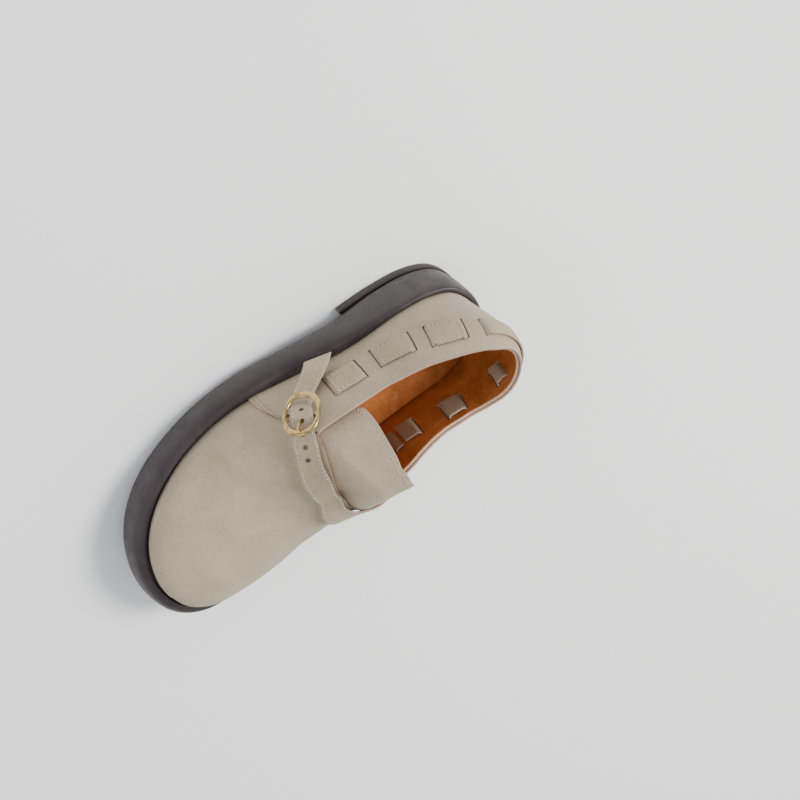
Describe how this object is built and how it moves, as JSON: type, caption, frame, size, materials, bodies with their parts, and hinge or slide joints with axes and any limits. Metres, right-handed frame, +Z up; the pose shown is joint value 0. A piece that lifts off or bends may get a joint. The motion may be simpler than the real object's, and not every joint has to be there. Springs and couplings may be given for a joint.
{
  "type": "platform shoe",
  "caption": "Suede platform shoe with a puffed rubber sole, a strap woven through slots round the heel, a wide tongue and a buckled strap over the instep.",
  "frame": {"origin": "on the floor under the middle of the shoe's box", "axes": "+Y from heel to toe, +X to the outer side of the foot, +Z up"},
  "size_m": [0.1144, 0.267, 0.1052],
  "materials": {
    "sole_rubber": "moulded rubber, dark aubergine brown with a soft sheen",
    "lining_leather": "smooth tan lining leather",
    "suede": "beige suede with a short nap",
    "buckle_brass": "antiqued brass, worn bright on the edges"
  },
  "bodies": {
    "root": {"sole": "sole_rubber", "heel_lift": "sole_rubber", "insole": "lining_leather", "upper": "suede", "quarter": "suede", "tongue": "suede", "woven_strap": "suede", "front_strap": "suede", "buckle": "buckle_brass", "buckle_prong": "buckle_brass"}
  },
  "joints": []
}
